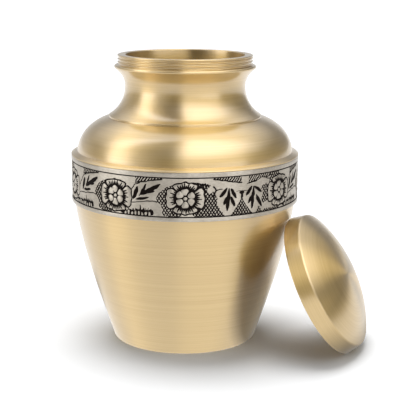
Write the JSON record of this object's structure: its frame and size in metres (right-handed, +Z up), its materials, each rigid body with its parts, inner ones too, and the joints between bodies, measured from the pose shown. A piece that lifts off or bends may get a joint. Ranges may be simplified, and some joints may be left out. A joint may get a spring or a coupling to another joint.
{
  "type": "cremation urn",
  "caption": "Small turned brass cremation urn with an engraved silver-coloured band, a threaded mouth and its screw lid leaning beside it.",
  "frame": {"origin": "centre of the foot's underside, on the surface the urn stands on", "axes": "+Z up along the urn's axis, out of the mouth; the front is towards -Y and the lid leans on the side towards +X, 19.5 degrees round to the front"},
  "size_m": [0.1452, 0.1127, 0.1394],
  "materials": {
    "satin_brass": "satin, brushed around",
    "engraved_silver": "satin with blackened engraving"
  },
  "bodies": {
    "root": {"urn_body": "satin_brass", "engraved_band": "engraved_silver", "lid": "satin_brass"}
  },
  "joints": []
}
